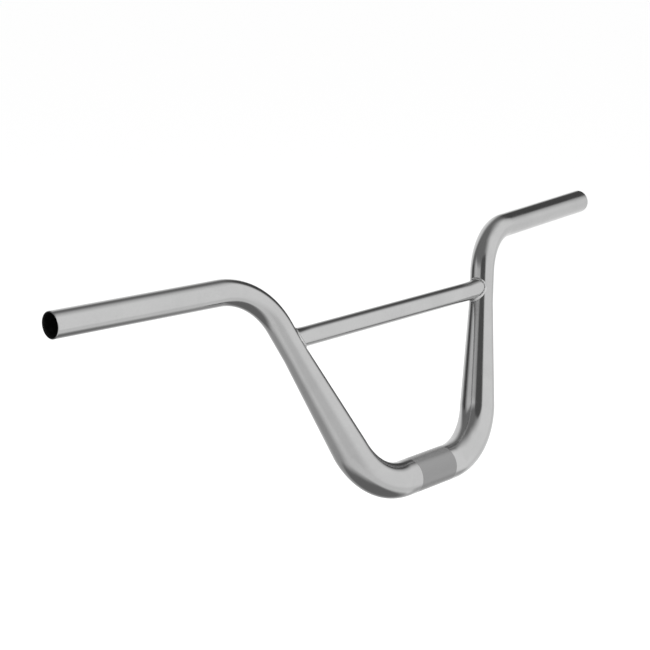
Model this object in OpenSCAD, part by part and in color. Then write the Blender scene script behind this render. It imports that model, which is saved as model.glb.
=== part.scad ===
// High-rise bicycle handlebar: one bent, tapered tube with a welded crossbar.
// X runs along the bar, +Y towards the rider and +Z up, with the bar leaned back as it is ridden.
// The origin is the middle of the stem clamp zone, on the tube's axis.

/* [Overall shape] */
// Distance between the two open ends, from centre to centre
bar_width = 735; // [640:5:800]
// Height of the ends above the clamp zone, along the legs' plane
rise = 201; // [150:1:240]
// Lean of the legs' plane back from the vertical
lean = 17; // [0:1:30]
// Angle of each leg above the clamp zone's axis
leg_angle = 66; // [56:1:78]
// Sweep of each grip end back towards the rider
backsweep = 7; // [2:1:14]
// Sweep of each grip end upwards
upsweep = 2; // [0:0.5:5]

/* [Main tube] */
// Outer diameter in the clamp zone and the lower bends
clamp_dia = 31.8; // [28:0.1:36]
// Outer diameter at the crossbar, in the upper bends and at the grips
grip_dia = 22.2; // [20:0.1:24]
// Wall in the clamp zone and the lower bends
clamp_wall = 2.8; // [2:0.1:4]
// Wall at the crossbar, in the upper bends and at the grips
grip_wall = 1.6; // [1.2:0.1:2.4]
// Length of the straight clamp zone
clamp_straight = 66; // [50:1:90]
// Radius of each lower bend, at the tube's axis
lower_bend_r = 66; // [50:1:85]
// Radius of each upper bend, at the tube's axis
upper_bend_r = 66; // [40:1:85]
// Chamfer round each open end
end_chamfer = 0.5; // [0.3:0.1:1]

/* [Crossbar] */
// Outer diameter of the crossbar between its belled ends
crossbar_dia = 17; // [14:0.5:19]
// Wall of the crossbar
crossbar_wall = 1.5; // [1:0.1:2.5]
// Distance along the leg from the crossbar's axis to the start of the upper bend
crossbar_drop = 14; // [14:1:40]
// Distance along the leg from the end of the taper to the crossbar's axis
taper_clearance = 15; // [15:1:30]
// How much smaller the belled mouth's radius is than the leg's
mouth_inset = 1.7; // [1:0.1:2.4]
// Length of the curve from the plain crossbar to its mouth
bell_length = 18; // [12:1:26]
// Distance from the leg's axis to the end of that curve
bell_setback = 8; // [6:1:12]

/* [Welds] */
// Width of each weld bead's foot on either tube
bead_foot = 1.5; // [1.2:0.1:2.4]
// Swelling of the bead past a straight line between its two feet
bead_crown = 0.5; // [0.3:0.1:0.8]
// Ripples round each bead
bead_ripples = 24; // [16:1:30]
// Depth of each ripple
ripple_depth = 0.15; // [0.05:0.05:0.2]
// Gap between the coped crossbar and the leg, bridged by the bead
root_gap = 0.1; // [0.05:0.05:0.3]
// Clearance under the bead, so that its flat facets stay out of the tubes
bead_clearance = 0.1; // [0.08:0.01:0.14]

/* [Hidden] */
$fn = 96;
past = 1;
// Each bend is a hair thinner than the straight lengths, which lap over its ends,
// and each bell is a hair thicker than the plain crossbar where it starts
seam_step = 0.01;
seam_lap = 0.1;

clamp_r = clamp_dia / 2;
grip_r = grip_dia / 2;
crossbar_r = crossbar_dia / 2;
mouth_r = grip_r - mouth_inset;

// Directions of the right leg and of the right grip, in the legs' plane before it leans
leg_dir = [cos(leg_angle), 0, sin(leg_angle)];
leg_side = [-sin(leg_angle), 0, cos(leg_angle)];
grip_dir = [cos(backsweep) * cos(upsweep), sin(backsweep) * cos(upsweep), sin(upsweep)];

// The upper bend's own angle, and the roll about the leg that brings it into its plane
upper_bend_angle = acos(leg_dir * grip_dir);
upper_bend_roll = atan2(-grip_dir[1], leg_side * grip_dir);

// Where the upper bend ends, seen from where it starts
upper_bend_dir = (grip_dir - cos(upper_bend_angle) * leg_dir) / sin(upper_bend_angle);
upper_bend_shift = upper_bend_r * sin(upper_bend_angle) * leg_dir
    + upper_bend_r * (1 - cos(upper_bend_angle)) * upper_bend_dir;

// Leg and grip lengths that give the overall width and rise
leg_start = [clamp_straight / 2 + lower_bend_r * sin(leg_angle), 0, lower_bend_r * (1 - cos(leg_angle))];
left_over = [bar_width / 2, 0, rise] - leg_start - upper_bend_shift;
turn = leg_dir[0] * grip_dir[2] - leg_dir[2] * grip_dir[0];
leg_length = (left_over[0] * grip_dir[2] - left_over[2] * grip_dir[0]) / turn;
grip_length = (leg_dir[0] * left_over[2] - leg_dir[2] * left_over[0]) / turn;

// Where the crossbar's axis meets the leg's
joint_along_leg = leg_length - crossbar_drop;
taper_length = joint_along_leg - taper_clearance;
joint = leg_start + joint_along_leg * leg_dir;

// Radius of the curve that bells the crossbar's end out to its mouth
bell_height = mouth_r - crossbar_r;
bell_r = (bell_length * bell_length + bell_height * bell_height) / (2 * bell_height);
bell_start = joint[0] - bell_setback - bell_length;

// A straight length of round bar along +X, from radius r1 to radius r2
module straight(length, r1, r2) {
    rotate([0, 90, 0])
        cylinder(h = length, r1 = r1, r2 = r2);
}

// A bent length of round bar that starts along +X and turns towards +Z
module bend(bend_r, angle, r) {
    translate([0, 0, bend_r])
        rotate([0, 90, 0])
            rotate([90, 0, 0])
                rotate_extrude(angle = angle)
                    translate([bend_r, 0])
                        circle(r = r);
}

// Places its children at the end of such a bend, with the bar along +X again
module after_bend(bend_r, angle) {
    translate([bend_r * sin(angle), 0, bend_r * (1 - cos(angle))])
        rotate([0, -angle, 0])
            children();
}

// Places its children at the start of the right leg
module on_leg() {
    translate([clamp_straight / 2, 0, 0])
        after_bend(lower_bend_r, leg_angle)
            children();
}

// Places its children at the start of the right grip
module on_grip() {
    on_leg()
        translate([leg_length, 0, 0])
            rotate([upper_bend_roll, 0, 0])
                after_bend(upper_bend_r, upper_bend_angle)
                    children();
}

// The right half of a solid bar on the tube's path, up to the start of the grip
module half_run(big_r, small_r) {
    translate([clamp_straight / 2, 0, 0])
        bend(lower_bend_r, leg_angle, big_r - seam_step);
    on_leg() {
        translate([-seam_lap, 0, 0])
            straight(seam_lap, big_r, big_r);
        straight(taper_length, big_r, small_r);
        translate([taper_length, 0, 0])
            straight(leg_length - taper_length + seam_lap, small_r, small_r);
        translate([leg_length, 0, 0])
            rotate([upper_bend_roll, 0, 0])
                bend(upper_bend_r, upper_bend_angle, small_r - seam_step);
    }
}

module both_sides() {
    children();
    mirror([1, 0, 0])
        children();
}

// The straight clamp zone of such a bar
module centre_run(r) {
    length = clamp_straight + 2 * seam_lap;
    translate([-length / 2, 0, 0])
        straight(length, r, r);
}

module tube_outside() {
    centre_run(clamp_r);
    both_sides() {
        half_run(clamp_r, grip_r);
        on_grip() {
            translate([-seam_lap, 0, 0])
                straight(grip_length - end_chamfer + seam_lap, grip_r, grip_r);
            translate([grip_length - end_chamfer, 0, 0])
                straight(end_chamfer, grip_r, grip_r - end_chamfer);
        }
    }
}

module tube_bore() {
    bore_r = grip_r - grip_wall;
    centre_run(clamp_r - clamp_wall);
    both_sides() {
        half_run(clamp_r - clamp_wall, bore_r);
        on_grip()
            translate([-seam_lap, 0, 0])
                straight(grip_length + seam_lap + past, bore_r, bore_r);
    }
}

module main_tube() {
    color("silver")
        rotate([-lean, 0, 0])
            difference() {
                tube_outside();
                tube_bore();
            }
}

// A solid crossbar of radius r, belled at both ends by the same height
module belled_bar(r) {
    bell_end = bell_length + bell_setback;
    rotate([0, 90, 0])
        rotate_extrude() {
            translate([0, -bell_start])
                square([r, 2 * bell_start]);
            for (end = [0, 1])
                mirror([0, end])
                    translate([0, bell_start])
                        difference() {
                            square([r + bell_height, bell_end]);
                            translate([r + seam_step + bell_r, 0])
                                circle(r = bell_r);
                        }
        }
}

module crossbar() {
    cope_length = 4 * grip_dia;
    color("silver")
        rotate([-lean, 0, 0])
            difference() {
                translate([0, 0, joint[2]])
                    difference() {
                        belled_bar(crossbar_r);
                        belled_bar(crossbar_r - crossbar_wall);
                    }
                both_sides()
                    on_leg()
                        translate([joint_along_leg - cope_length / 2, 0, 0])
                            straight(cope_length, grip_r + root_gap, grip_r + root_gap);
            }
}

// Outer radius of the crossbar at x measured from the leg's axis
function crossbar_r_at(x) =
    let (along = x + bell_setback + bell_length)
        along < 0 ? crossbar_r
        : along > bell_length ? mouth_r
        : crossbar_r + bell_r - sqrt(bell_r * bell_r - along * along);

function unit(v) = v / norm(v);
function off_leg(p) = p - (p * leg_dir) * leg_dir;

// The corner where the two tubes' surfaces meet, at angle q round the crossbar
function corner(q) =
    let (
        r = mouth_r + bead_clearance,
        leg_r = grip_r + bead_clearance,
        y = r * cos(q),
        z = r * sin(q)
    )
    [(z * cos(leg_angle) - sqrt(leg_r * leg_r - y * y)) / sin(leg_angle), y, z];

// Points moved onto the leg's and the crossbar's surfaces
function onto_leg(p) =
    p - off_leg(p) + (grip_r + bead_clearance) * unit(off_leg(p));
function onto_crossbar(p) =
    [p[0], 0, 0] + (crossbar_r_at(p[0]) + bead_clearance) * unit([0, p[1], p[2]]);

// The bead's outline at angle q: its corner, then the outer face from foot to foot
bead_points = 6;
function bead_section(q) =
    let (
        at = corner(q),
        bar_normal = [0, cos(q), sin(q)],
        leg_normal = unit(off_leg(at)),
        lean_in = bar_normal * leg_normal,
        bar_foot = onto_crossbar(at + bead_foot * unit(leg_normal - lean_in * bar_normal)),
        leg_foot = onto_leg(at + bead_foot * unit(bar_normal - lean_in * leg_normal)),
        outwards = unit(bar_normal + leg_normal),
        swell = bead_crown - ripple_depth * (1 + cos(bead_ripples * q)) / 2
    )
    [at, for (i = [0:bead_points])
        let (t = i / bead_points)
            bar_foot * (1 - t) + leg_foot * t + swell * sin(180 * t) * outwards];

module weld_bead() {
    rings = 4 * bead_ripples;
    sides = bead_points + 2;
    points = [for (i = [0:rings - 1]) each bead_section(360 * i / rings)];
    faces = [for (i = [0:rings - 1], j = [0:sides - 1])
        let (a = i * sides, b = (i + 1) % rings * sides, k = (j + 1) % sides)
            each [[a + j, b + j, b + k], [a + j, b + k, a + k]]];
    rotate([-lean, 0, 0])
        translate(joint)
            polyhedron(points = points, faces = faces, convexity = 4);
}

module weld_left() {
    color("lightgray")
        mirror([1, 0, 0])
            weld_bead();
}

module weld_right() {
    color("lightgray")
        weld_bead();
}

main_tube();
crossbar();
weld_left();
weld_right();
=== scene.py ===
"""A high-rise bicycle handlebar: one bent, tapered aluminium tube with a welded crossbar."""

from math import acos, cos, pi, radians, sin, sqrt

import bpy
from mathutils import Matrix, Vector


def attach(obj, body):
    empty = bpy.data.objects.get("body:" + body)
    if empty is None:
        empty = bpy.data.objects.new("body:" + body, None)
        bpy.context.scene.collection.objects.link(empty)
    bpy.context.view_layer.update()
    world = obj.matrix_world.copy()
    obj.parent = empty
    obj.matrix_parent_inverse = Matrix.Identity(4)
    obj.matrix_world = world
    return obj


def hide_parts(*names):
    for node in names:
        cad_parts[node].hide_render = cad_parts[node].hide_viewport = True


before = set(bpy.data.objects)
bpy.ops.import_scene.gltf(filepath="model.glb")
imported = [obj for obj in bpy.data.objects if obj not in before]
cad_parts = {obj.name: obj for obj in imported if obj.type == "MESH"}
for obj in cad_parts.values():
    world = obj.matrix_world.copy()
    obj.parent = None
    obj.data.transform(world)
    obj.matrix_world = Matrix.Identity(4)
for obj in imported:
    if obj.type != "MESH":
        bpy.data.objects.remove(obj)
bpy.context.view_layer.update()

# Sizes in metres, as the construction has them
mm = 0.001

# The whole bar
bar_width = 735 * mm
rise = 201 * mm
lean = radians(17)
leg_angle = radians(66)
backsweep = radians(7)
upsweep = radians(2)

# The main tube
clamp_radius = 15.9 * mm
grip_radius = 11.1 * mm
clamp_wall = 2.8 * mm
grip_wall = 1.6 * mm
clamp_straight = 66 * mm
lower_bend = 66 * mm
upper_bend = 66 * mm
taper_clearance = 15 * mm
end_chamfer = 0.5 * mm
end_rim = 0.2 * mm
countersink = 1.1 * mm

# The matt band round the middle of the clamp zone
band_half_width = 25 * mm
band_edge = 0.15 * mm

# The crossbar, with mouths a little slimmer than the legs
crossbar_radius = 8.5 * mm
crossbar_wall = 1.5 * mm
crossbar_drop = 14 * mm
mouth_step = 1.7 * mm
mouth_radius = grip_radius - mouth_step
bell_length = 18 * mm
bell_setback = 8 * mm
root_gap = 0.1 * mm

# The weld beads
bead_foot = 1.5 * mm
bead_crown = 0.5 * mm
bead_clearance = 0.1 * mm
bead_ripples = 24
ripple_depth = 0.15 * mm
ripple_trail = 0.45

# How finely the pieces are made
path_step = 1 * mm
straight_step = 6 * mm
bend_step = 1.5 * mm
tube_sides = 96
plain_rings = 8
bell_rings = 20
cope_rounds = 8
bead_rings = 16 * bead_ripples
bead_points = 14
sharp_corner = radians(30)

# Directions in the legs' plane before it leans back
across = Vector((1, 0, 0))
upwards = Vector((0, 0, 1))
leg_dir = Vector((cos(leg_angle), 0, sin(leg_angle)))
grip_dir = Vector((cos(backsweep) * cos(upsweep), sin(backsweep) * cos(upsweep), sin(upsweep)))
upper_angle = acos(leg_dir.dot(grip_dir))
upper_side = (grip_dir - cos(upper_angle) * leg_dir) / sin(upper_angle)
lean_back = Matrix.Rotation(-lean, 4, "X")


def arc_point(bend_radius, angle, along, towards):
    """How far a bend that starts in the direction along and turns towards another has come."""
    return bend_radius * (sin(angle) * along + (1 - cos(angle)) * towards)


def leg_and_grip_lengths(leg_start):
    """The two straight lengths that give the overall width and rise."""
    end = Vector((bar_width / 2, 0, rise))
    left = end - leg_start - arc_point(upper_bend, upper_angle, leg_dir, upper_side)
    turn = leg_dir.x * grip_dir.z - leg_dir.z * grip_dir.x
    leg = (left.x * grip_dir.z - left.z * grip_dir.x) / turn
    grip = (leg_dir.x * left.z - leg_dir.z * left.x) / turn
    return leg, grip


# Where each stretch of the right half starts, and the middle of the crossbar's joint
lower_start = across * clamp_straight / 2
leg_start = lower_start + arc_point(lower_bend, leg_angle, across, upwards)
leg_length, grip_length = leg_and_grip_lengths(leg_start)
upper_start = leg_start + leg_length * leg_dir
grip_start = upper_start + arc_point(upper_bend, upper_angle, leg_dir, upper_side)
joint_along_leg = leg_length - crossbar_drop
joint = leg_start + joint_along_leg * leg_dir

# Distances along the tube from its middle to where each stretch starts
lower_bend_at = clamp_straight / 2
leg_at = lower_bend_at + lower_bend * leg_angle
taper_end_at = leg_at + joint_along_leg - taper_clearance
upper_bend_at = leg_at + leg_length
grip_at = upper_bend_at + upper_bend * upper_angle
tip_at = grip_at + grip_length


# Meshes


def add_object(name, data):
    """An object with that data, placed in the scene."""
    piece = bpy.data.objects.new(name, data)
    bpy.context.scene.collection.objects.link(piece)
    return piece


def smooth_mesh(name, points, faces):
    """A smooth-shaded mesh that keeps its corners sharp."""
    mesh = bpy.data.meshes.new(name)
    mesh.from_pydata(points, [], faces)
    mesh.shade_smooth()
    mesh.set_sharp_from_angle(angle=sharp_corner)
    return mesh


def closed_grid_faces(rows, columns):
    """Faces of a grid that closes on itself both ways, with its points row by row."""
    faces = []
    for i in range(rows):
        row = i * columns
        next_row = (i + 1) % rows * columns
        for j in range(columns):
            beside = (j + 1) % columns
            faces.append((row + j, row + beside, next_row + beside, next_row + j))
    return faces


def ring_point(along, radius, turn):
    """A point round the X axis."""
    return Vector((along, radius * cos(turn), radius * sin(turn)))


def steps(start, end, step):
    """Even steps from start up to, and without, end."""
    count = max(1, round((end - start) / step))
    return [start + (end - start) * i / count for i in range(count)]


# Shader and geometry trees


class Wiring:
    """Adds nodes to one tree and links their sockets."""

    def __init__(self, tree):
        self.tree = tree

    def node(self, kind, inputs=(), **settings):
        made = self.tree.nodes.new(kind)
        for name, value in settings.items():
            setattr(made, name, value)
        for place, value in dict(inputs).items():
            self.feed(made.inputs[place], value)
        return made

    def feed(self, socket, value):
        if isinstance(value, bpy.types.NodeSocket):
            self.tree.links.new(value, socket)
        else:
            socket.default_value = value

    def math(self, operation, *values):
        return self.node("ShaderNodeMath", enumerate(values), operation=operation).outputs[0]

    def vector(self, operation, *values):
        return self.node("ShaderNodeVectorMath", enumerate(values), operation=operation).outputs[0]

    def scaled(self, vector, factor):
        inputs = {0: vector, "Scale": factor}
        return self.node("ShaderNodeVectorMath", inputs, operation="SCALE").outputs[0]

    def blend(self, factor, low, high):
        """Low where the factor is 0, high where it is 1, and a mix of them between."""
        inputs = {0: factor, 2: low, 3: high}
        return self.node("ShaderNodeMix", inputs, data_type="FLOAT").outputs[0]

    def slope(self, value, start, end, low=0.0, high=1.0):
        """Low before start, high after end and a smooth change between them."""
        inputs = {"Value": value, "From Min": start, "From Max": end, "To Min": low, "To Max": high}
        return self.node("ShaderNodeMapRange", inputs, interpolation_type="SMOOTHSTEP").outputs[0]

    def noise(self, place, scale, detail=2.0, roughness=0.5, distortion=0.0):
        """Cloudy noise round a middle of 0.5."""
        inputs = {
            "Vector": place,
            "Scale": scale,
            "Detail": detail,
            "Roughness": roughness,
            "Distortion": distortion,
        }
        return self.node("ShaderNodeTexNoise", inputs).outputs[0]


def tree_with(kind, name, inputs, outputs):
    """An empty node tree with named sockets, and its wiring, input node and output node."""
    tree = bpy.data.node_groups.new(name, kind)
    for label, (socket, value) in inputs.items():
        made = tree.interface.new_socket(name=label, in_out="INPUT", socket_type=socket)
        if value is not None:
            made.default_value = value
    for label, socket in outputs.items():
        tree.interface.new_socket(name=label, in_out="OUTPUT", socket_type=socket)
    wires = Wiring(tree)
    return tree, wires, wires.node("NodeGroupInput"), wires.node("NodeGroupOutput")


def finish_tree(wires, geometry, finish, result):
    """Ends a geometry tree: real geometry, coated with its finish."""
    real = wires.node("GeometryNodeRealizeInstances", {"Geometry": geometry})
    coated = wires.node("GeometryNodeSetMaterial", {"Geometry": real.outputs[0], "Material": finish})
    wires.feed(result, coated.outputs[0])


def run_tree(blank, tree, values, name):
    """Runs the tree on the blank with those named inputs and returns the plain result."""
    modifier = blank.modifiers.new("shape", "NODES")
    modifier.node_group = tree
    sockets = {s.name: s.identifier for s in tree.interface.items_tree if s.in_out == "INPUT"}
    for label, value in values.items():
        modifier[sockets[label]] = value
    blank.update_tag()
    shaped = blank.evaluated_get(bpy.context.evaluated_depsgraph_get())
    mesh = bpy.data.meshes.new_from_object(shaped)
    mesh.name = name
    blank.modifiers.remove(modifier)
    bpy.data.objects.remove(blank)
    return add_object(name, mesh)


# Main tube


def point_along(distance):
    """The point on the right half of the tube's axis at that distance from its middle."""
    if distance < lower_bend_at:
        return distance * across
    if distance < leg_at:
        angle = (distance - lower_bend_at) / lower_bend
        return lower_start + arc_point(lower_bend, angle, across, upwards)
    if distance < upper_bend_at:
        return leg_start + (distance - leg_at) * leg_dir
    if distance < grip_at:
        angle = (distance - upper_bend_at) / upper_bend
        return upper_start + arc_point(upper_bend, angle, leg_dir, upper_side)
    return grip_start + (distance - grip_at) * grip_dir


def tube_path():
    """The tube's whole axis as a curve, from the left end to the right."""
    right = [point_along(d) for d in steps(0, tip_at, path_step)] + [point_along(tip_at)]
    left = [Vector((-p.x, p.y, p.z)) for p in reversed(right[1:])]
    points = [lean_back @ p for p in left + right]
    curve = bpy.data.curves.new("tube_path", "CURVE")
    curve.dimensions = "3D"
    spline = curve.splines.new("POLY")
    spline.points.add(len(points) - 1)
    for place, point in zip(spline.points, points):
        place.co = (*point, 1)
    return add_object("tube_path", curve)


def tapered(distance, big, small):
    """The radius at that distance from the middle: big in the lower bends, small above the taper."""
    share = min(max((distance - leg_at) / (taper_end_at - leg_at), 0), 1)
    return big + (small - big) * share


def tube_section():
    """The wall of the straight blank, as (along, radius) points round a closed outline, outside first.

    With it comes the range of points from which the outline runs inside, through both countersinks."""
    marks = [0, lower_bend_at, leg_at, taper_end_at, upper_bend_at, grip_at, tip_at - end_chamfer]
    sizes = [straight_step, bend_step, straight_step, straight_step, bend_step, straight_step]
    half = []
    for start, end, step in zip(marks, marks[1:], sizes):
        half += steps(start, end, step)
    half.append(marks[-1])
    both = [-x for x in reversed(half[1:])] + half
    inner_clamp = clamp_radius - clamp_wall
    inner_grip = grip_radius - grip_wall
    outside = [(x, tapered(abs(x), clamp_radius, grip_radius)) for x in both]
    bore = [(x, tapered(abs(x), inner_clamp, inner_grip)) for x in reversed(both[1:-1])]
    rim = grip_radius - end_chamfer
    right_end = [(tip_at, rim), (tip_at, rim - end_rim), (tip_at - countersink, inner_grip)]
    left_end = [(-x, radius) for x, radius in reversed(right_end)]
    section = outside + right_end + bore + left_end
    return section, range(len(outside) + 1, len(section) - 2)


def bend_tree():
    """Bends a straight blank that lies along X round a path, and keeps each point's straight place."""
    tree, wires, given, result = tree_with(
        "GeometryNodeTree",
        "Bend along a path",
        {
            "Blank": ("NodeSocketGeometry", None),
            "Path": ("NodeSocketObject", None),
            "Middle": ("NodeSocketFloat", 0.0),
            "Finish": ("NodeSocketMaterial", None),
        },
        {"Bent": "NodeSocketGeometry"},
    )
    path = wires.node("GeometryNodeObjectInfo", {"Object": given.outputs["Path"]})
    place = wires.node("GeometryNodeInputPosition").outputs[0]
    kept = wires.node(
        "GeometryNodeStoreNamedAttribute",
        {"Geometry": given.outputs["Blank"], "Name": "straight", "Value": place},
        data_type="FLOAT_VECTOR",
        domain="POINT",
    )
    parts = wires.node("ShaderNodeSeparateXYZ", {"Vector": place}).outputs
    length = wires.math("ADD", parts["X"], given.outputs["Middle"])
    sample = wires.node(
        "GeometryNodeSampleCurve",
        {"Curves": path.outputs["Geometry"], "Length": length},
        mode="LENGTH",
        use_all_curves=True,
    ).outputs
    side = wires.vector("CROSS_PRODUCT", sample["Tangent"], sample["Normal"])
    offset_y = wires.scaled(sample["Normal"], parts["Y"])
    offset_z = wires.scaled(side, parts["Z"])
    bent = wires.vector("ADD", sample["Position"], wires.vector("ADD", offset_y, offset_z))
    moved = wires.node("GeometryNodeSetPosition", {"Geometry": kept.outputs[0], "Position": bent})
    finish_tree(wires, moved.outputs[0], given.outputs["Finish"], result.inputs["Bent"])
    return tree


def main_tube(finish, bore_painted_shade):
    """The bent tube, made from a straight turned blank, with its inside in a near-black finish of its own
    that paints the shade in the bore.
    """
    section, inside_rows = tube_section()
    points = []
    for along, radius in section:
        points += [ring_point(along, radius, 2 * pi * j / tube_sides) for j in range(tube_sides)]
    faces = closed_grid_faces(len(section), tube_sides)
    blank = add_object("tube_blank", smooth_mesh("tube_blank", points, faces))
    path = tube_path()
    values = {"Path": path, "Middle": tip_at, "Finish": finish}
    tube = run_tree(blank, bend_tree(), values, "bent_tube")
    bpy.data.objects.remove(path)
    # The inside faces, countersinks included, take the near-black painted shade
    tube.data.materials.append(bore_painted_shade)
    first = inside_rows.start * tube_sides
    last = inside_rows.stop * tube_sides
    for face in tube.data.polygons[first:last]:
        face.material_index = 1
    return tube


# Crossbar


def bell_radius_at(x):
    """The crossbar's outer radius at that distance from its middle."""
    height = mouth_radius - crossbar_radius
    curve = (bell_length ** 2 + height ** 2) / (2 * height)
    along = x - (joint.x - bell_setback - bell_length)
    if along <= 0:
        return crossbar_radius
    if along >= bell_length:
        return mouth_radius
    return crossbar_radius + curve - sqrt(curve ** 2 - along ** 2)


def leg_surface_at(y, z, radius):
    """How far out the leg's near side lies, at that place beside the crossbar's axis."""
    return joint.x + (z * cos(leg_angle) - sqrt(radius ** 2 - y ** 2)) / sin(leg_angle)


def coped_end(turn, inset):
    """Where the crossbar's wall meets the leg at that angle round it, found in a few rounds."""
    x = joint.x - grip_radius
    for _ in range(cope_rounds):
        radius = bell_radius_at(x) - inset
        x = leg_surface_at(radius * cos(turn), radius * sin(turn), grip_radius + root_gap)
    return x


def crossbar_shell(inset):
    """One side of the wall as rings of points from the left leg to the right, and their number."""
    plain_end = joint.x - bell_setback - bell_length
    turns = [2 * pi * j / tube_sides for j in range(tube_sides)]
    ends = [coped_end(turn, inset) for turn in turns]
    rings = [[plain_end * i / plain_rings] * tube_sides for i in range(plain_rings)]
    for i in range(bell_rings + 1):
        share = i / bell_rings
        rings.append([plain_end + (end - plain_end) * share for end in ends])
    rings = [[-x for x in ring] for ring in reversed(rings[1:])] + rings
    points = []
    for ring in rings:
        points += [ring_point(x, bell_radius_at(abs(x)) - inset, turn) for x, turn in zip(ring, turns)]
    return points, len(rings)


def crossbar(finish):
    """A straight tube, belled and coped at both ends, that keeps each point's place before it leaned."""
    outside, rings = crossbar_shell(0)
    bore, _ = crossbar_shell(crossbar_wall)
    inner_rings = [bore[i * tube_sides:(i + 1) * tube_sides] for i in reversed(range(rings))]
    straight = outside + [p for ring in inner_rings for p in ring]
    points = [lean_back @ (p + joint.z * upwards) for p in straight]
    mesh = smooth_mesh("crossbar_tube", points, closed_grid_faces(2 * rings, tube_sides))
    kept = mesh.attributes.new("straight", "FLOAT_VECTOR", "POINT")
    kept.data.foreach_set("vector", [n for p in straight for n in p])
    mesh.materials.append(finish)
    return add_object("crossbar_tube", mesh)


# Weld beads


def off_leg(point):
    """The part of a vector from the joint that points straight out of the leg."""
    return point - point.dot(leg_dir) * leg_dir


def bead_section(turn):
    """The bead's outline at that angle round the crossbar: its corner, then from foot to foot.

    With it comes how much each point belongs to the bulge, from 0 at the feet to 1 at the crown."""
    radius = mouth_radius + bead_clearance
    leg_radius = grip_radius + bead_clearance
    y = radius * cos(turn)
    z = radius * sin(turn)
    corner = Vector((leg_surface_at(y, z, leg_radius) - joint.x, y, z))
    bar_normal = Vector((0, cos(turn), sin(turn)))
    leg_normal = off_leg(corner).normalized()
    lean_in = bar_normal.dot(leg_normal)
    bar_foot = corner + bead_foot * (leg_normal - lean_in * bar_normal).normalized()
    bar_radius = bell_radius_at(joint.x + bar_foot.x) + bead_clearance
    bar_foot = Vector((bar_foot.x, 0, 0)) + bar_radius * Vector((0, bar_foot.y, bar_foot.z)).normalized()
    leg_foot = corner + bead_foot * (bar_normal - lean_in * leg_normal).normalized()
    leg_foot += (leg_radius - off_leg(leg_foot).length) * off_leg(leg_foot).normalized()
    outwards = (bar_normal + leg_normal).normalized()
    outline = [corner]
    bulges = [0.0]
    for i in range(bead_points + 1):
        share = i / bead_points
        bulge = sin(pi * share)
        outline.append(bar_foot.lerp(leg_foot, share) + bead_crown * bulge * outwards)
        bulges.append(bulge)
    return outline, bulges


def ripple_tree():
    """Presses valleys into the rings of a weld bead, and leaves round ripples that trail at both feet."""
    tree, wires, given, result = tree_with(
        "GeometryNodeTree",
        "Weld ripples",
        {
            "Bead": ("NodeSocketGeometry", None),
            "Ripples": ("NodeSocketFloat", 24.0),
            "Depth": ("NodeSocketFloat", 0.0001),
            "Trail": ("NodeSocketFloat", 0.5),
            "Finish": ("NodeSocketMaterial", None),
        },
        {"Rippled": "NodeSocketGeometry"},
    )
    around = wires.node("GeometryNodeInputNamedAttribute", {"Name": "around"}, data_type="FLOAT").outputs[0]
    bulge = wires.node("GeometryNodeInputNamedAttribute", {"Name": "bulge"}, data_type="FLOAT").outputs[0]
    turns = wires.math("MULTIPLY", around, given.outputs["Ripples"])
    trailing = wires.math("ADD", turns, wires.math("MULTIPLY", bulge, given.outputs["Trail"]))
    phase = wires.math("FRACT", trailing)
    hump = wires.math("SQRT", wires.math("SINE", wires.math("MULTIPLY", phase, pi)))
    height = wires.math("MULTIPLY", wires.math("SUBTRACT", hump, 1.0), given.outputs["Depth"])
    normal = wires.node("GeometryNodeInputNormal").outputs[0]
    offset = wires.scaled(normal, wires.math("MULTIPLY", height, bulge))
    moved = wires.node("GeometryNodeSetPosition", {"Geometry": given.outputs["Bead"], "Offset": offset})
    finish_tree(wires, moved.outputs[0], given.outputs["Finish"], result.inputs["Rippled"])
    return tree


def weld_bead(name, side, finish, ripples):
    """The bead on one side: 1 is the right and -1 the left."""
    points = []
    bulges = []
    arounds = []
    for i in range(bead_rings):
        outline, swelling = bead_section(2 * pi * i / bead_rings)
        for point in outline:
            placed = joint + point
            points.append(lean_back @ Vector((side * placed.x, placed.y, placed.z)))
        bulges += swelling
        arounds += [i / bead_rings] * len(outline)
    faces = closed_grid_faces(bead_rings, bead_points + 2)
    # The left bead is a mirror image, so only the right one has to be turned to face outwards
    if side > 0:
        faces = [face[::-1] for face in faces]
    mesh = smooth_mesh(name + "_blank", points, faces)
    for label, kept_values in (("around", arounds), ("bulge", bulges)):
        kept = mesh.attributes.new(label, "FLOAT", "POINT")
        kept.data.foreach_set("value", kept_values)
    blank = add_object(name + "_blank", mesh)
    values = {
        "Ripples": float(bead_ripples),
        "Depth": ripple_depth,
        "Trail": ripple_trail,
        "Finish": finish,
    }
    return run_tree(blank, ripples, values, name)


# Effects that the finishes share


def grain_group():
    """Fine lines drawn along the straight tube, with a few deeper ones among them."""
    tree, wires, given, result = tree_with(
        "ShaderNodeTree",
        "Drawn grain",
        {
            "Place": ("NodeSocketVector", None),
            "Lines per metre": ("NodeSocketFloat", 2500.0),
            "Length ratio": ("NodeSocketFloat", 0.02),
        },
        {"Height": "NodeSocketFloat", "Deep lines": "NodeSocketFloat"},
    )
    deep_share = 0.22
    squeeze = wires.node("ShaderNodeCombineXYZ", {"X": given.outputs["Length ratio"], "Y": 1.0, "Z": 1.0})
    drawn = wires.vector("MULTIPLY", given.outputs["Place"], squeeze.outputs[0])
    fine_scale = given.outputs["Lines per metre"]
    deep_scale = wires.math("MULTIPLY", fine_scale, deep_share)
    fine = wires.noise(drawn, fine_scale, detail=3.0, roughness=0.6)
    deep = wires.noise(drawn, deep_scale, detail=1.0)
    wires.feed(result.inputs["Height"], fine)
    wires.feed(result.inputs["Deep lines"], wires.slope(deep, 0.66, 0.74))
    return tree


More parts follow.
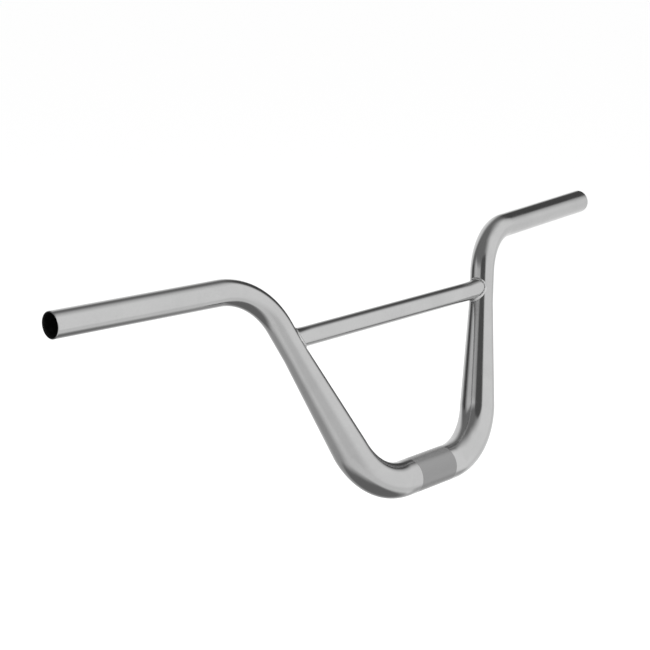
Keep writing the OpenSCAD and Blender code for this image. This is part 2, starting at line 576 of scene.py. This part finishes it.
def handling_group():
    """Where hands and packing have dulled the finish, the hairline scratches they left, and fine specks."""
    tree, wires, given, result = tree_with(
        "ShaderNodeTree",
        "Handling marks",
        {
            "Place": ("NodeSocketVector", None),
            "Patches per metre": ("NodeSocketFloat", 25.0),
            "Scratches per metre": ("NodeSocketFloat", 90.0),
            "Specks per metre": ("NodeSocketFloat", 700.0),
        },
        {"Dull": "NodeSocketFloat", "Scratch": "NodeSocketFloat", "Speckle": "NodeSocketFloat"},
    )
    scratch_turn = (0.5, 0.9, 0.35)
    scratch_stretch = (1.0, 9.0, 9.0)
    hairline = 0.012
    place = given.outputs["Place"]
    patch_scale = given.outputs["Patches per metre"]
    cloud = wires.noise(place, patch_scale, detail=5.0, roughness=0.62, distortion=0.4)
    turned = wires.node(
        "ShaderNodeMapping",
        {"Vector": place, "Rotation": scratch_turn, "Scale": scratch_stretch},
    )
    cells = wires.node(
        "ShaderNodeTexVoronoi",
        {"Vector": turned.outputs[0], "Scale": given.outputs["Scratches per metre"], "Randomness": 1.0},
        feature="DISTANCE_TO_EDGE",
    )
    lines = wires.slope(cells.outputs["Distance"], 0.0, hairline, 1.0, 0.0)
    scratched = wires.slope(cloud, 0.58, 0.7)
    specks = wires.noise(place, given.outputs["Specks per metre"], roughness=0.6)
    wires.feed(result.inputs["Dull"], wires.slope(cloud, 0.38, 0.66))
    wires.feed(result.inputs["Scratch"], wires.math("MULTIPLY", lines, scratched))
    wires.feed(result.inputs["Speckle"], wires.math("SUBTRACT", specks, 0.5))
    return tree


# Finishes


def empty_wiring(owner):
    """The wiring of a material's or a world's own tree, with nothing in it yet."""
    owner.use_nodes = True
    owner.node_tree.nodes.clear()
    return Wiring(owner.node_tree)


def blank_finish(name, metallic=1.0):
    """A material with only its Principled shader, and the wiring to finish it."""
    finish = bpy.data.materials.new(name)
    wires = empty_wiring(finish)
    shader = wires.node("ShaderNodeBsdfPrincipled", {"Metallic": metallic})
    wires.node("ShaderNodeOutputMaterial", {"Surface": shader.outputs[0]})
    return finish, wires, shader


def placed_group(wires, group, inputs):
    """The outputs of a shared effect that is placed in a material with those inputs."""
    return wires.node("ShaderNodeGroup", inputs, node_tree=group).outputs


def grey(wires, level):
    """A neutral colour of that level."""
    return wires.node("ShaderNodeCombineColor", {"Red": level, "Green": level, "Blue": level}).outputs[0]


def bumped(wires, height, depth, under=None):
    """The normal of a surface with that relief, over the relief that is under it."""
    inputs = {"Height": height, "Distance": depth}
    if under is not None:
        inputs["Normal"] = under
    return wires.node("ShaderNodeBump", inputs).outputs[0]


def straight_place(wires):
    """Each point's place on its tube before the tube was bent or leaned."""
    attribute = wires.node("ShaderNodeAttribute", attribute_name="straight", attribute_type="GEOMETRY")
    return attribute.outputs["Vector"]


def object_place(wires):
    """Each point's place on the finished piece."""
    return wires.node("ShaderNodeTexCoord").outputs["Object"]


def dull_patches(wires, groups, per_metre):
    """A mask of the patches that are duller than the rest."""
    inputs = {"Place": object_place(wires), "Patches per metre": per_metre}
    return placed_group(wires, groups["handling"], inputs)["Dull"]


def satin(wires, groups, place, lines_per_metre):
    """The level, roughness and normal of satin aluminium drawn along its tube."""
    levels = (0.575, 0.55)
    roughness = (0.1, 0.15)
    speckle_level = 0.05
    deep_line_roughness = 0.05
    scratch_roughness = 0.12
    grain_depth = 0.004 * mm
    speckle_depth = 0.012 * mm
    scratch_depth = 0.004 * mm
    grain = placed_group(wires, groups["grain"], {"Place": place, "Lines per metre": lines_per_metre})
    marks = placed_group(wires, groups["handling"], {"Place": place})
    level = wires.blend(marks["Dull"], *levels)
    level = wires.math("ADD", level, wires.math("MULTIPLY", marks["Speckle"], speckle_level))
    rough = wires.blend(marks["Dull"], *roughness)
    rough = wires.math("ADD", rough, wires.math("MULTIPLY", grain["Deep lines"], deep_line_roughness))
    rough = wires.math("ADD", rough, wires.math("MULTIPLY", marks["Scratch"], scratch_roughness))
    normal = bumped(wires, grain["Height"], grain_depth)
    normal = bumped(wires, marks["Speckle"], speckle_depth, normal)
    normal = bumped(wires, wires.math("MULTIPLY", marks["Scratch"], -1.0), scratch_depth, normal)
    return level, rough, normal


def with_matt_band(wires, place, level, rough, normal):
    """The tube's level, roughness and normal with the blasted band added, and how metallic it looks."""
    band_metallic = 0.42
    grit_per_metre = 3500.0
    grit_levels = (0.28, 0.31)
    grit_roughness = (0.13, 0.2)
    grit_depth = 0.004 * mm
    along = wires.node("ShaderNodeSeparateXYZ", {"Vector": place}).outputs["X"]
    from_middle = wires.math("ABSOLUTE", along)
    inside = wires.slope(from_middle, band_half_width - band_edge, band_half_width, 1.0, 0.0)
    grit = wires.noise(place, grit_per_metre)
    level = wires.blend(inside, level, wires.blend(grit, *grit_levels))
    rough = wires.blend(inside, rough, wires.blend(grit, *grit_roughness))
    normal = bumped(wires, wires.math("MULTIPLY", grit, inside), grit_depth, normal)
    metallic = wires.blend(inside, 1.0, band_metallic)
    return level, rough, normal, metallic


def coat(wires, shader, level, rough, normal):
    """Gives the shader a neutral finish that changes over the surface."""
    wires.feed(shader.inputs["Base Color"], grey(wires, level))
    wires.feed(shader.inputs["Roughness"], rough)
    wires.feed(shader.inputs["Normal"], normal)


def satin_tube(groups):
    """Satin aluminium, with a matt blasted band where the stem clamps it."""
    finish, wires, shader = blank_finish("satin_tube")
    place = straight_place(wires)
    level, rough, normal = satin(wires, groups, place, lines_per_metre=2600.0)
    level, rough, normal, metallic = with_matt_band(wires, place, level, rough, normal)
    wires.feed(shader.inputs["Metallic"], metallic)
    coat(wires, shader, level, rough, normal)
    return finish


def satin_crossbar(groups):
    """Satin aluminium with a finer grain."""
    finish, wires, shader = blank_finish("satin_crossbar")
    level, rough, normal = satin(wires, groups, straight_place(wires), lines_per_metre=3200.0)
    coat(wires, shader, level, rough, normal)
    return finish


def painted_shade_bore(groups):
    """The inside of the tube and its countersinks, painted near black as the shade within the bore."""
    # Painted shade: the near-black levels stand in for the shade deep inside the tube, not for the metal's
    # own colour
    levels = (0.004, 0.008)
    roughness = (0.5, 0.7)
    sheen = 0.1
    finish, wires, shader = blank_finish("painted_shade_bore", metallic=0.0)
    dull = dull_patches(wires, groups, per_metre=300.0)
    wires.feed(shader.inputs["Specular IOR Level"], sheen)
    wires.feed(shader.inputs["Base Color"], grey(wires, wires.blend(dull, *levels)))
    wires.feed(shader.inputs["Roughness"], wires.blend(dull, *roughness))
    return finish


def bright_weld(groups):
    """A bright, slightly gritty weld bead with duller patches."""
    levels = (0.7, 0.6)
    roughness = (0.24, 0.36)
    grit_per_metre = 4200.0
    grit_depth = 0.01 * mm
    finish, wires, shader = blank_finish("bright_weld")
    dull = dull_patches(wires, groups, per_metre=220.0)
    grit = wires.noise(object_place(wires), grit_per_metre)
    normal = bumped(wires, grit, grit_depth)
    coat(wires, shader, wires.blend(dull, *levels), wires.blend(dull, *roughness), normal)
    return finish


# Studio


def light_path(wires):
    """Which rays come straight from the camera, and which by way of metal or glass."""
    seen = wires.node("ShaderNodeLightPath").outputs
    mirrored = wires.math("MAXIMUM", seen["Is Glossy Ray"], seen["Is Transmission Ray"])
    return seen["Is Camera Ray"], mirrored


def studio_world():
    """White wherever the camera looks. The metal sees the studio: soft boxes in front, a bright backdrop
    behind, and dark where the ceiling, the floor and three black flags are."""
    light_on_matt_surfaces = 0.8
    world = bpy.data.worlds.new("studio")
    bpy.context.scene.world = world
    wires = empty_wiring(world)
    direction = wires.node("ShaderNodeTexCoord").outputs["Generated"]
    parts = wires.node("ShaderNodeSeparateXYZ", {"Vector": direction}).outputs
    forward = wires.math("MULTIPLY", parts["Y"], -1.0)
    azimuth = wires.math("MULTIPLY", wires.math("ARCTAN2", parts["X"], forward), 180 / pi)
    elevation = wires.math("MULTIPLY", wires.math("ARCSINE", parts["Z"]), 180 / pi)
    watched, mirrored = light_path(wires)
    strength = wires.blend(mirrored, light_on_matt_surfaces, reflected_light(wires, azimuth, elevation))
    strength = wires.blend(watched, strength, 1.0)
    background = wires.node("ShaderNodeBackground", {"Color": (1, 1, 1, 1), "Strength": strength})
    wires.node("ShaderNodeOutputWorld", {"Surface": background.outputs[0]})


def reflected_light(wires, azimuth, elevation):
    """How bright the studio is in that direction, in degrees, with the camera near azimuth -50."""
    floor_level = 0.19
    ceiling_level = 0.34
    soft_box_level = 0.96
    above_floor = wires.slope(elevation, -50.0, -46.0)
    below_ceiling = wires.slope(elevation, 57.0, 88.0, 1.0, 0.0)
    level = wires.blend(above_floor, floor_level, wires.blend(below_ceiling, ceiling_level, soft_box_level))
    # Each patch has its middle and half size in azimuth and elevation, its softness and its brightness
    patches = {
        "side wall": ((-65, -25), (72, 37), 0.33, 0.73),
        "dim wall": ((171, 1), (92, 62), 0.15, 0.19),
        "ceiling behind": ((-142, 74), (142, 30), 0.40, 0.21),
        "floor in front": ((-9, -42), (98, 12), 0.40, 0.82),
        "floor on the left": ((-171, -43), (80, 12), 0.39, 0.43),
        "floor behind": ((133, -37), (61, 7), 0.12, 0.50),
        "low backdrop": ((104, -12), (37, 23), 0.16, 0.83),
        "backdrop": ((153, 3), (25, 35), 0.40, 0.90),
        "upright backdrop": ((113, -10), (15, 29), 0.40, 0.91),
        "window": ((-112, 29), (34, 12), 0.40, 0.69),
        "flag by the camera": ((-42, 49), (32, 16), 0.22, 0.10),
        "flag on the left": ((-160, 4), (7, 16), 0.04, 0.06),
        "flag on the right": ((103, 15), (19, 23), 0.22, 0.08),
    }
    for middle, half, softness, brightness in patches.values():
        mask = studio_patch(wires, azimuth, elevation, middle, half, softness)
        level = wires.blend(mask, level, brightness)
    return level


def studio_patch(wires, azimuth, elevation, middle, half, softness):
    """A mask for a patch of the studio, between an oval and a rectangle, with soft edges."""
    squareness = 3.0
    turned = wires.math("WRAP", wires.math("SUBTRACT", azimuth, middle[0]), 180.0, -180.0)
    raised = wires.math("SUBTRACT", elevation, middle[1])
    powers = []
    for offset, reach in zip((turned, raised), half):
        share = wires.math("ABSOLUTE", wires.math("DIVIDE", offset, reach))
        powers.append(wires.math("POWER", share, squareness))
    distance = wires.math("POWER", wires.math("ADD", *powers), 1 / squareness)
    return wires.slope(distance, 1.0 - softness, 1.0 + softness, 1.0, 0.0)


def studio_floor():
    """A pale floor well below the bar, which keeps its shadow."""
    half_width = 40.0
    height = -0.36
    pale = (0.86, 0.86, 0.86, 1)
    glow_strength = 0.3
    mesh = bpy.data.meshes.new("floor")
    corners = [(-1, -1), (1, -1), (1, 1), (-1, 1)]
    mesh.from_pydata([(x * half_width, y * half_width, height) for x, y in corners], [], [(0, 1, 2, 3)])
    finish = bpy.data.materials.new("pale_floor")
    wires = empty_wiring(finish)
    watched, mirrored = light_path(wires)
    strength = wires.math("MULTIPLY", wires.math("MAXIMUM", watched, mirrored), glow_strength)
    paint = wires.node("ShaderNodeBsdfDiffuse", {"Color": pale})
    glow = wires.node("ShaderNodeEmission", {"Color": (1, 1, 1, 1), "Strength": strength})
    both = wires.node("ShaderNodeAddShader", {0: paint.outputs[0], 1: glow.outputs[0]})
    wires.node("ShaderNodeOutputMaterial", {"Surface": both.outputs[0]})
    mesh.materials.append(finish)
    floor = add_object("floor", mesh)
    floor.visible_glossy = False


def aimed(place, aim):
    """The matrix of a lamp or camera at that place that looks at a point."""
    towards = Vector(aim) - Vector(place)
    return Matrix.Translation(place) @ towards.to_track_quat("-Z", "Y").to_matrix().to_4x4()


def soft_lamp(name, place, size, power):
    """A square lamp aimed at the middle of the bar. Its reflection is part of the studio world."""
    middle_of_the_bar = (0, 0.04, 0.1)
    lamp = bpy.data.lights.new(name, "AREA")
    lamp.size = size
    lamp.energy = power
    made = add_object(name, lamp)
    made.matrix_world = aimed(place, middle_of_the_bar)
    made.visible_glossy = False


def studio_camera():
    """The photograph's view, from the left, in front and a little above."""
    place = (-1.38107, -1.02349, 0.53330)
    aim = (-0.08844, 0.04316, 0.14118)
    roll = radians(0.181)
    data = bpy.data.cameras.new("camera")
    data.sensor_width = 36
    data.lens = 111.813
    data.shift_x = -0.00074
    data.shift_y = 0.00032
    camera = add_object("camera", data)
    camera.matrix_world = aimed(place, aim) @ Matrix.Rotation(roll, 4, "Z")
    bpy.context.scene.camera = camera


# The handlebar and the studio together


def build_handlebar():
    groups = {"grain": grain_group(), "handling": handling_group()}
    weld = bright_weld(groups)
    ripples = ripple_tree()
    pieces = [
        (main_tube(satin_tube(groups), painted_shade_bore(groups)), "main_tube", "tube"),
        (crossbar(satin_crossbar(groups)), "crossbar", "crossbar_tube"),
        (weld_bead("left_weld", -1, weld, ripples), "weld_left", "weld"),
        (weld_bead("right_weld", 1, weld, ripples), "weld_right", "weld"),
    ]
    for piece, node, slot in pieces:
        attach(piece, "root")
        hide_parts(node)


def build_studio():
    studio_world()
    studio_floor()
    soft_lamp("key_lamp", place=(-0.6, -0.5, 2.0), size=1.6, power=16)
    soft_lamp("fill_lamp", place=(1.2, 0.8, 1.6), size=1.4, power=8)
    studio_camera()
    bpy.context.scene.view_settings.view_transform = "Standard"


build_handlebar()
build_studio()
